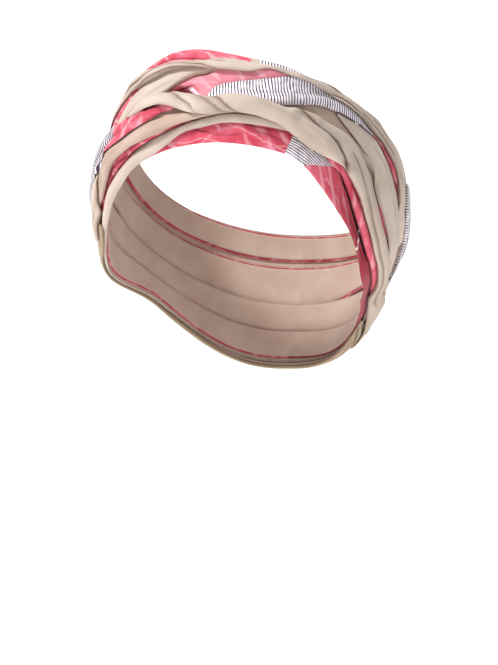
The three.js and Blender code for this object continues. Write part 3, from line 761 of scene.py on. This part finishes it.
def build_strap(name, spec, cover, seed):
    """The strap's mesh, with the maps that its cloth reads: cloth (metres), chart (turn, place) and shade."""
    loop = spec["loop"]
    s = strap_shape(name, spec, cover, seed)
    n, m = s["u"].shape
    cover.raise_to(closed(s["u"], 360, loop), closed(s["v"], 0, loop), closed(s["outer"], 0, loop))
    positions = point_at(s["ring_u"], s["ring_v"], s["ring_height"]) * MM
    ring = positions.shape[1]
    spans = n if loop else n - 1
    i = np.arange(spans)[:, None]
    j = np.arange(ring)[None, :]
    next_i = (i + 1) % n
    next_j = (j + 1) % ring
    corners = [i * ring + j, next_i * ring + j, next_i * ring + next_j, i * ring + next_j]
    quads = np.stack(corners, -1).reshape(-1, 4)
    backward = s["middle"][-1] < s["middle"][0]
    if backward:
        quads = quads[:, ::-1]
    faces = quads.tolist()
    vertices = positions.reshape(-1, 3)
    if not loop:
        last = (n - 1) * ring
        first_cap = list(range(ring))
        last_cap = [last + k for k in range(ring)]
        faces.append(first_cap[::-1] if backward else first_cap)
        faces.append(last_cap if backward else last_cap[::-1])
    mesh = bpy.data.meshes.new(name)
    mesh.from_pydata(vertices.tolist(), [], faces)
    mesh.update()

    x_of = closed(s["x"], s["length"], loop)
    u_of = closed(s["middle"], 360, loop)
    across = closed(s["ring_across"], 0, loop)
    place = closed(s["ring_place"], 0, loop)
    crease_shade = closed(s["ring_shade"], 0, loop)
    corner_i = np.stack([i + 0 * j, i + 1 + 0 * j, i + 1 + 0 * j, i + 0 * j], -1).reshape(-1, 4)
    corner_j = np.stack([j + 0 * i, j + 0 * i, next_j + 0 * i, next_j + 0 * i], -1).reshape(-1, 4)
    if backward:
        corner_i = corner_i[:, ::-1]
        corner_j = corner_j[:, ::-1]
    corner_i = corner_i.reshape(-1)
    corner_j = corner_j.reshape(-1)
    cloth, chart, shade = np.zeros((3, len(mesh.loops), 2), np.float32)
    used = len(corner_i)
    cloth[:used, 0] = x_of[corner_i] * MM
    cloth[:used, 1] = across[corner_i, corner_j] * MM
    chart[:used, 0] = u_of[corner_i] / 360
    chart[:used, 1] = place[corner_i, corner_j]
    shade[:used, 0] = crease_shade[corner_i, corner_j]
    if not loop:
        order = 1 if backward else -1
        for first, end, way in ((used, 0, -order), (used + ring, -1, order)):
            cap = slice(first, first + ring)
            cloth[cap, 0] = x_of[end] * MM
            cloth[cap, 1] = across[end][::way] * MM
            chart[cap, 0] = u_of[end] / 360
            chart[cap, 1] = place[end][::way]
    for title, values in (("cloth", cloth), ("chart", chart), ("shade", shade)):
        mesh.uv_layers.new(name=title).data.foreach_set("uv", values.reshape(-1))
    inside = np.zeros(len(mesh.polygons), np.int32)
    is_inner = (np.arange(ring) >= m) & (np.arange(ring) < ring - 1)
    inside[: spans * ring] = np.tile(is_inner, spans)
    mesh.polygons.foreach_set("material_index", inside)
    mesh.polygons.foreach_set("use_smooth", np.ones(len(mesh.polygons), bool))
    mesh.update()
    obj = bpy.data.objects.new("cloth_" + name, mesh)
    bpy.context.scene.collection.objects.link(obj)
    return obj


class Nodes:
    """Short calls for a material's node tree."""

    def __init__(self, name):
        self.material = bpy.data.materials.new(name)
        self.material.use_nodes = True
        self.tree = self.material.node_tree
        self.tree.nodes.clear()
        self.output = self.add("ShaderNodeOutputMaterial")
        self.shader = self.add("ShaderNodeBsdfPrincipled")
        self.link(self.shader.outputs[0], self.output.inputs["Surface"])

    def add(self, kind, **settings):
        node = self.tree.nodes.new(kind)
        for key, value in settings.items():
            setattr(node, key, value)
        return node

    def link(self, source, target):
        self.tree.links.new(source, target)

    def feed(self, socket, value):
        """Links a node's output to the socket, or sets a number or colour on it."""
        if isinstance(value, bpy.types.NodeSocket):
            self.link(value, socket)
        elif isinstance(value, (tuple, list)) and len(value) == 3 and socket.type == "RGBA":
            socket.default_value = (*value, 1)
        else:
            socket.default_value = value

    def surface(self, settings):
        """Sets plain values on the shader's own sockets."""
        for key, value in settings.items():
            self.shader.inputs[key].default_value = value

    def math(self, operation, a, b=0.0, c=0.0):
        node = self.add("ShaderNodeMath", operation=operation)
        for socket, value in zip(node.inputs, (a, b, c)):
            self.feed(socket, value)
        return node.outputs[0]

    def plus(self, a, b):
        return self.math("ADD", a, b)

    def less(self, a, b):
        return self.math("SUBTRACT", a, b)

    def times(self, a, b):
        return self.math("MULTIPLY", a, b)

    def times_plus(self, a, b, c):
        return self.math("MULTIPLY_ADD", a, b, c)

    def without(self, value):
        """1 where value is 0, and 0 where it is 1."""
        return self.less(1.0, value)

    def mix(self, factor, a, b):
        node = self.add("ShaderNodeMix", data_type="RGBA")
        self.feed(node.inputs["Factor"], factor)
        colours = [s for s in node.inputs if s.type == "RGBA"]
        self.feed(colours[0], a)
        self.feed(colours[1], b)
        return next(s for s in node.outputs if s.type == "RGBA")

    def noise(self, vector, scale, detail):
        node = self.add("ShaderNodeTexNoise")
        self.link(vector, node.inputs["Vector"])
        node.inputs["Scale"].default_value = scale
        node.inputs["Detail"].default_value = detail
        return node.outputs["Fac"]

    def ramp(self, value, low, high, kind="SMOOTHSTEP"):
        """0 below low, 1 above high."""
        node = self.add("ShaderNodeMapRange", interpolation_type=kind)
        self.feed(node.inputs["Value"], value)
        node.inputs["From Min"].default_value = low
        node.inputs["From Max"].default_value = high
        return node.outputs["Result"]

    def parts(self, vector):
        """x and y of a vector."""
        node = self.add("ShaderNodeSeparateXYZ")
        self.link(vector, node.inputs[0])
        return node.outputs[0], node.outputs[1]

    def join(self, x, y):
        """The vector x, y, 0."""
        node = self.add("ShaderNodeCombineXYZ")
        for socket, value in zip(node.inputs, (x, y)):
            self.feed(socket, value)
        return node.outputs[0]


def srgb(r, g, b):
    """Linear colour of an 8-bit display colour."""
    return tuple(((c / 255 + 0.055) / 1.055) ** 2.4 if c > 10 else c / 255 / 12.92 for c in (r, g, b))


# Two tones of each plain cloth, the shaded and nape tones darkened as painted shade, and the other colours,
# among them painted shade and a painted highlight.
BEIGE = srgb(215, 198, 185), srgb(200, 182, 167)
SHADED = srgb(205, 181, 166), srgb(193, 166, 150)
# Painted shade: the nape strap's beige darkened as if it lay in shadow.
NAPE_SHADE = srgb(172, 150, 124), srgb(158, 136, 109)
BEIGE_STITCH = srgb(120, 96, 78)
# Painted shade toward the twist strap's far end, where the light falls off.
TWIST_TAIL_SHADE = srgb(150, 128, 106)
# Painted shade of the beige seen down the gap beside the twist.
BEIGE_GAP_SHADE = srgb(104, 84, 66)
CORAL = srgb(196, 58, 80), srgb(226, 104, 124)
CORAL_STROKE = srgb(246, 176, 188)
CORAL_VEIN = srgb(250, 206, 212)
CORAL_PALE = srgb(252, 196, 206)
CORAL_SHADE = srgb(140, 12, 38)
# Painted shade along the base band's deep valley fold.
CORAL_VALLEY_SHADE = srgb(60, 8, 22)
# Painted shade in the hollow between the upper strap's folds.
CORAL_HOLLOW_SHADE = srgb(112, 18, 36)
# Coral of the print at the bottom of the painted gap, darkened as painted shade.
CORAL_GAP_SHADE = srgb(176, 40, 70)
# Painted highlight on the ridge of a fold in the upper strap.
FOLD_HIGHLIGHT = srgb(250, 228, 234)
WHITE_SEAM = srgb(238, 222, 212)
STRIPE_GROUND = srgb(246, 238, 246)
STRIPE_LINE = srgb(62, 44, 60)
# Painted shade of the deep gap beside the twist's lower lobes.
GAP_SHADE = srgb(52, 34, 28)
# Colour of the painted shade in creases, under turned edges and on the inner faces.
CREASE_SHADE = srgb(138, 112, 98)

RIB = 0.0009  # spacing of the knit's ribs, in metres
STITCH = 0.0008  # and of its rows of stitches


def knit(n, x, y):
    """Height of the fine jersey knit: ribs along the cloth crossed by rows of stitches."""
    rib = n.math("SINE", n.times(y, 2 * math.pi / RIB))
    row = n.math("SINE", n.times_plus(x, 2 * math.pi / STITCH, n.times(rib, 0.8)))
    return n.times_plus(rib, 0.5, n.times(row, 0.5))


def curve(n, value, low, high, points):
    """Follows the points (value, height) from low to high in straight lines; heights are 0 to 1."""
    node = n.add("ShaderNodeFloatCurve")
    n.link(n.ramp(value, low, high, "LINEAR"), node.inputs["Value"])
    line = node.mapping.curves[0]
    while len(line.points) > 2:
        line.points.remove(line.points[-1])
    for k, (at, height) in enumerate(points):
        spot = line.points[k] if k < 2 else line.points.new(0, 0)
        spot.location = ((at - low) / (high - low), height)
    for spot in line.points:
        spot.handle_type = "VECTOR"
    node.mapping.update()
    return node.outputs[0]


def beige_colour(n, cloth, x, y, light, dark):
    """Plain jersey in two soft tones, with dots where the stitches are."""
    broad = n.ramp(n.noise(cloth, 45, 2), 0.3, 0.7)
    ground = n.mix(broad, dark, light)
    dots = n.times_plus(knit(n, x, y), -0.09, 0.09)
    return n.mix(dots, ground, BEIGE_STITCH)


def streaks(n, cloth, x, y, slope, spacing, width, seed):
    """Soft slanting brush strokes, 0 to 1."""
    bend = n.times(n.noise(n.join(n.plus(x, seed), y), 34, 1), 1.6)
    across = n.times(n.times_plus(y, slope, x), 1 / spacing)
    phase = n.math("FRACT", n.plus(across, bend))
    off = n.math("ABSOLUTE", n.less(phase, 0.5))
    weight = n.times(n.noise(n.join(n.plus(x, seed * 2), y), 140, 1), width)
    present = n.ramp(n.noise(n.join(n.plus(x, seed * 3), y), 70, 1), 0.38, 0.56)
    stroke = n.without(n.ramp(n.math("DIVIDE", off, weight), 0.3, 1.5))
    return n.times(present, stroke)


def coral_colour(n, cloth, x, y):
    """Coral ground with pale crossing brush strokes and thin dotted veins."""
    ground = n.mix(n.ramp(n.noise(cloth, 90, 3), 0.3, 0.72), *CORAL)
    first = streaks(n, cloth, x, y, 1.25, 0.012, 0.3, 0.3)
    second = streaks(n, cloth, x, y, -1.7, 0.034, 0.08, 0.9)
    grain = n.times_plus(knit(n, x, y), 0.18, 0.62)
    pale = n.times(n.math("MAXIMUM", first, n.times(second, 0.5)), grain)
    body = n.mix(pale, ground, CORAL_STROKE)
    swirl = n.times(n.noise(cloth, 42, 2), 9)
    winding = n.plus(swirl, n.times(x, 120))
    vein = n.math("SINE", n.times_plus(y, 2 * math.pi / 0.012, winding))
    thin = n.times(n.ramp(vein, 0.93, 1.0), n.ramp(n.noise(cloth, 1900, 1), 0.4, 0.6))
    return n.mix(n.times(thin, 0.55), body, CORAL_VEIN)


def stripe_colour(n, cloth, along, period=0.0016, waver=1.2, weight=0.19):
    """Dark lines of uneven weight on a pale ground."""
    drift = n.times(n.noise(cloth, 85, 2), waver)
    phase = n.math("FRACT", n.plus(n.times(along, 1 / period), drift))
    off = n.math("ABSOLUTE", n.less(phase, 0.5))
    half = n.times_plus(n.noise(cloth, 300, 1), 0.3, weight - 0.15)
    line = n.without(n.ramp(n.math("DIVIDE", off, half), 0.8, 1.15))
    return n.mix(line, STRIPE_GROUND, STRIPE_LINE)


def finish_cloth(n, colour, x, y):
    """Paints shade into the cloth's creases, under its turned edges and on its inner face, and adds the knit.
    """
    # Painted shade: the shade map darkens the colour toward the crease shade colour.
    crease_shade = n.parts(n.add("ShaderNodeUVMap", uv_map="shade").outputs[0])[0]
    deep = n.add("ShaderNodeMix", data_type="RGBA", blend_type="MULTIPLY")
    n.feed(deep.inputs["Factor"], n.times(crease_shade, 0.8))
    colours = [s for s in deep.inputs if s.type == "RGBA"]
    n.feed(colours[0], colour)
    n.feed(colours[1], CREASE_SHADE)
    n.feed(n.shader.inputs["Base Color"], next(s for s in deep.outputs if s.type == "RGBA"))
    n.surface({"Roughness": 0.78, "Specular IOR Level": 0.3, "Sheen Weight": 0.15, "Sheen Roughness": 0.5})
    bump = n.add("ShaderNodeBump")
    bump.inputs["Strength"].default_value = 0.3
    bump.inputs["Distance"].default_value = 0.00016
    n.link(knit(n, x, y), bump.inputs["Height"])
    n.link(bump.outputs[0], n.shader.inputs["Normal"])
    return n.material


def cloth_nodes(name):
    """A material's nodes, its cloth map, x and y on the cloth, angle and place on the wrap."""
    n = Nodes(name)
    cloth = n.add("ShaderNodeUVMap", uv_map="cloth").outputs[0]
    chart = n.add("ShaderNodeUVMap", uv_map="chart").outputs[0]
    x, y = n.parts(cloth)
    turn, place = n.parts(chart)
    angle = n.times(turn, 360.0)
    return n, cloth, x, y, angle, place


def beige_cloth(name, light, dark):
    """The same plain jersey all over."""
    n, cloth, x, y = cloth_nodes(name)[:4]
    return finish_cloth(n, beige_colour(n, cloth, x, y, light, dark), x, y)


def within(n, value, low, high, soft):
    """1 where value is between low and high, with soft edges."""
    rise = n.ramp(value, low - soft, low + soft)
    fall = n.without(n.ramp(value, high - soft, high + soft))
    return n.times(rise, fall)


def above(n, line, place):
    """1 where line is above place, with a sharp edge."""
    return n.ramp(n.less(line, place), -0.01, 0.01)


def base_cloth():
    """Coral print with painted shade toward the wearer's left and a dark line of painted shade along the deep
    valley, with a striped patch and a pale seam.
    """
    n, cloth, x, y, angle, place = cloth_nodes("coral_print_base")
    colour = coral_colour(n, cloth, x, y)
    # Painted shade toward the wearer's left.
    shadow = n.ramp(angle, 42, 70)
    colour = n.mix(n.times(shadow, 0.8), colour, CORAL_SHADE)
    # Painted shade: a dark line along the deep valley fold.
    points = [(40, 0.9), (50, 0.84), (56, 0.74), (63, 0.5), (72, 0.36), (86, 0.36), (100, 0.36)]
    valley = curve(n, angle, 40, 100, points)
    deep = within(n, n.less(place, valley), -0.05, 0.05, 0.04)
    strength = n.times(within(n, angle, 50, 88, 3.0), 0.8)
    colour = n.mix(n.times(deep, strength), colour, CORAL_VALLEY_SHADE)
    join = n.ramp(n.times_plus(place, -2.2, angle), 28.5, 28.7)
    points = [(0, 0), (36, 0), (40.2, 0.29), (45.7, 0.66), (49.5, 0.9), (51, 1), (60, 1)]
    patch = n.times(join, above(n, place, curve(n, angle, 0, 60, points)))
    colour = n.mix(patch, colour, stripe_colour(n, cloth, y, 0.0014))
    seam = within(n, n.times_plus(place, 6.0, angle), 74.2, 75.4, 0.2)
    return finish_cloth(n, n.mix(n.times(seam, n.ramp(place, 0.5, 0.4)), colour, WHITE_SEAM), x, y)


def coral_cloth():
    """The same coral print all over."""
    n, cloth, x, y = cloth_nodes("coral_print")[:4]
    return finish_cloth(n, coral_colour(n, cloth, x, y), x, y)


def cross_cloth():
    """Shaded beige, darkened further as painted shade toward the gap beside the twist, and coral where the
    gap shows it.
    """
    n, cloth, x, y, angle = cloth_nodes("beige_cross")[:5]
    colour = beige_colour(n, cloth, x, y, *SHADED)
    # Painted shade: darker past 57 degrees, where only the gap beside the twist shows this strap.
    colour = n.mix(n.times(n.ramp(angle, 57, 61), 0.8), colour, BEIGE_GAP_SHADE)
    colour = n.mix(within(n, angle, 76, 91, 1.0), colour, coral_colour(n, cloth, x, y))
    return finish_cloth(n, colour, x, y)


def crown_cloth():
    """Coral print, and plain beige with a striped length at the wearer's left of the forehead."""
    n, cloth, x, y, angle = cloth_nodes("crown_print")[:5]
    colour = coral_colour(n, cloth, x, y)
    plain = beige_colour(n, cloth, x, y, *BEIGE)
    colour = n.mix(within(n, angle, 12.5, 60, 0.3), colour, plain)
    colour = n.mix(within(n, angle, 15, 29, 0.3), colour, stripe_colour(n, cloth, x))
    return finish_cloth(n, colour, x, y)


def upper_cloth():
    """Coral print, striped low down at the left, with a beige band, a painted highlight along a fold and
    painted shade in the hollow at the right.
    """
    n, cloth, x, y, angle, place = cloth_nodes("upper_print")

    def line(*points):
        return curve(n, angle, -60, 60, points)

    rising = [(2, 0.1), (3, 0.36), (5, 0.48), (9, 0.56), (13, 0.63), (20, 0.74), (26, 0.84), (34, 1)]
    edge = line((-60, 0), *rising, (60, 1.0))
    rising = [(-23, 0), (-16, 0.35), (-12, 0.54), (-8, 0.66), (-3, 0.77), (4, 0.84), (8, 1)]
    low = line((-60, 0), *rising, (60, 1.0))
    high = line((-60, 0.5), (-40, 0.5), (-33, 0.62), (-27, 0.79), (-20, 0.94), (-16, 1), (60, 1))
    hollow = line((-60, 0), (-20, 0.4), (-13, 0.56), (-8, 0.6), (-4, 0.46), (-1, 0.2), (2, 0), (60, 0))
    colour = coral_colour(n, cloth, x, y)
    colour = n.mix(n.times(within(n, angle, -6, 30, 3.0), 0.34), colour, CORAL_PALE)
    striped = n.times(above(n, edge, place), within(n, angle, 2.0, 61.0, 0.2))
    colour = n.mix(striped, colour, stripe_colour(n, cloth, n.times_plus(y, 0.25, x)))
    # Painted shade: the hollow between the folds turns dark coral.
    sunk = n.ramp(n.less(hollow, place), -0.03, 0.06)
    dark = n.times(sunk, n.ramp(place, 0.12, 0.2))
    colour = n.mix(n.times(dark, 0.85), colour, CORAL_HOLLOW_SHADE)
    # Painted highlight: a pale line along a fold's ridge.
    fold = within(n, n.times_plus(place, 14.0, angle), 1.0, 2.4, 0.3)
    colour = n.mix(n.times(fold, n.ramp(place, 0.46, 0.36)), colour, FOLD_HIGHLIGHT)
    band = n.times(above(n, place, low), above(n, high, place))
    return finish_cloth(n, n.mix(band, colour, beige_colour(n, cloth, x, y, *BEIGE)), x, y)


def twist_cloth():
    """Beige, darker toward its far end as painted shade, with the deep gap beside the lower lobes painted on
    as dark shade and the print, darkened, at the bottom of it.
    """
    n, cloth, x, y, angle, place = cloth_nodes("beige_twist")
    colour = beige_colour(n, cloth, x, y, *BEIGE)
    # Painted shade: the far end of the strap darkens.
    colour = n.mix(n.times(n.ramp(angle, 86, 122), 0.55), colour, TWIST_TAIL_SHADE)
    # Painted shade: a dark gap is painted along the high edge, with darkened coral where the print shows at
    # its bottom.
    points = [(40, 1), (50, 0.96), (58, 0.84), (66, 0.85), (76, 0.86), (84, 0.88), (96, 0.82), (140, 0.8)]
    off = n.less(place, curve(n, angle, 40, 140, points))
    print_there = within(n, angle, 71, 87, 2.0)
    shifted = n.times_plus(print_there, -0.07, off)
    gap = n.times(within(n, shifted, -0.11, 0.05, 0.04), within(n, angle, 60, 112, 4.0))
    inside = n.mix(print_there, GAP_SHADE, CORAL_GAP_SHADE)
    colour = n.mix(n.times(gap, 0.92), colour, inside)
    return finish_cloth(n, colour, x, y)


def side_cloth():
    """Coral print at the tip, then bold stripes across the strap, then fine stripes along its end."""
    n, cloth, x, y, angle = cloth_nodes("side_print")[:5]
    colour = coral_colour(n, cloth, x, y)
    bold = stripe_colour(n, cloth, x, 0.0026, 1.4, 0.31)
    colour = n.mix(n.without(n.ramp(angle, -33.2, -32.8)), colour, bold)
    colour = n.mix(n.without(n.ramp(angle, -211, -209)), colour, stripe_colour(n, cloth, y))
    return finish_cloth(n, colour, x, y)


# Colours of the straps: outer face, then the face toward the head.
beige = beige_cloth("beige_jersey", *BEIGE)
shaded = beige_cloth("beige_jersey_shaded", *SHADED)
# The nape strap's cloth: beige in painted shade.
nape_shade = beige_cloth("beige_jersey_nape_shade", *NAPE_SHADE)
OUTER = {
    "base_band": base_cloth(),
    "edge_strap": beige,
    "print_roll": coral_cloth(),
    "cross_strap": cross_cloth(),
    "nape_strap": nape_shade,
    "crown_strap": crown_cloth(),
    "right_strap": beige,
    "upper_strap": upper_cloth(),
    "top_strap": beige,
    "twist_strap": twist_cloth(),
    "side_strap": side_cloth(),
}

cover = Cover()
for seed, (name, spec) in enumerate(STRAPS.items(), 1):
    obj = build_strap(name, spec, cover, seed)
    obj.data.materials.append(OUTER[name])
    obj.data.materials.append(shaded)
    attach(obj, "root")
    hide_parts(name)


# The photograph's eye.
YAW = 18  # degrees round to the wearer's left
EYE_DISTANCE = 1.8
PICTURE_HEIGHT = 665  # pixels
PIXEL = 0.00056  # metres at the wrap
AIM_LEFT = 0.00224  # from the origin to the middle of the picture
AIM_DOWN = 0.0742


def make_stage():
    """A pale floor that curves up into a backdrop."""
    floor_z = -0.36
    front = -3.4
    flat_end = 2.2
    radius = 0.6
    top = 3.4
    half_width = 4.0
    profile = [(front, floor_z), (flat_end, floor_z)]
    for a in np.linspace(0.1, math.pi / 2, 14):
        profile.append((flat_end + radius * math.sin(a), floor_z + radius * (1 - math.cos(a))))
    profile.append((flat_end + radius, top))
    vertices = [(x, y, z) for y, z in profile for x in (-half_width, half_width)]
    faces = [(2 * k, 2 * k + 1, 2 * k + 3, 2 * k + 2) for k in range(len(profile) - 1)]
    mesh = bpy.data.meshes.new("backdrop")
    mesh.from_pydata(vertices, [], faces)
    for polygon in mesh.polygons:
        polygon.use_smooth = True
    obj = bpy.data.objects.new("backdrop", mesh)
    obj.rotation_euler = (0, 0, math.radians(YAW))
    bpy.context.scene.collection.objects.link(obj)
    n = Nodes("backdrop_paper")
    n.surface({"Base Color": (0.85, 0.85, 0.84, 1), "Roughness": 0.9})
    n.surface({"Emission Color": (1, 1, 1, 1), "Emission Strength": 0.5})
    mesh.materials.append(n.material)


def area_light(name, place, size, watts):
    """A soft round light that points at the wrap."""
    light = bpy.data.lights.new(name, "AREA")
    light.shape = "DISK"
    light.size = size
    light.energy = watts
    obj = bpy.data.objects.new(name, light)
    obj.location = place
    obj.rotation_mode = "QUATERNION"
    obj.rotation_quaternion = (-Vector(place)).to_track_quat("-Z", "Y")
    bpy.context.scene.collection.objects.link(obj)


def make_light():
    """A soft white studio."""
    world = bpy.data.worlds.new("studio")
    world.use_nodes = True
    background = world.node_tree.nodes["Background"]
    background.inputs["Color"].default_value = (1, 1, 1, 1)
    background.inputs["Strength"].default_value = 0.32
    bpy.context.scene.world = world
    bpy.context.scene.view_settings.view_transform = "Standard"
    area_light("key", (-0.9, -1.2, 1.55), 0.5, 47)
    area_light("fill", (1.5, -1.2, 0.3), 1.2, 2.5)
    area_light("top", (0.1, 0.3, 1.7), 0.8, 8)


def make_camera():
    """Level, and turned toward the wearer's left side."""
    yaw = math.radians(YAW)
    back = Vector((math.sin(yaw), -math.cos(yaw), 0))
    right = Vector((math.cos(yaw), math.sin(yaw), 0))
    camera = bpy.data.cameras.new("camera")
    camera.sensor_fit = "AUTO"
    camera.sensor_width = 36
    camera.lens = camera.sensor_width * EYE_DISTANCE / (PICTURE_HEIGHT * PIXEL)
    camera.clip_start = 0.05
    camera.clip_end = 20
    obj = bpy.data.objects.new("camera", camera)
    obj.location = back * EYE_DISTANCE - right * AIM_LEFT - Vector((0, 0, AIM_DOWN))
    obj.rotation_mode = "QUATERNION"
    obj.rotation_quaternion = (-back).to_track_quat("-Z", "Y")
    bpy.context.scene.collection.objects.link(obj)
    bpy.context.scene.camera = obj


make_stage()
make_light()
make_camera()
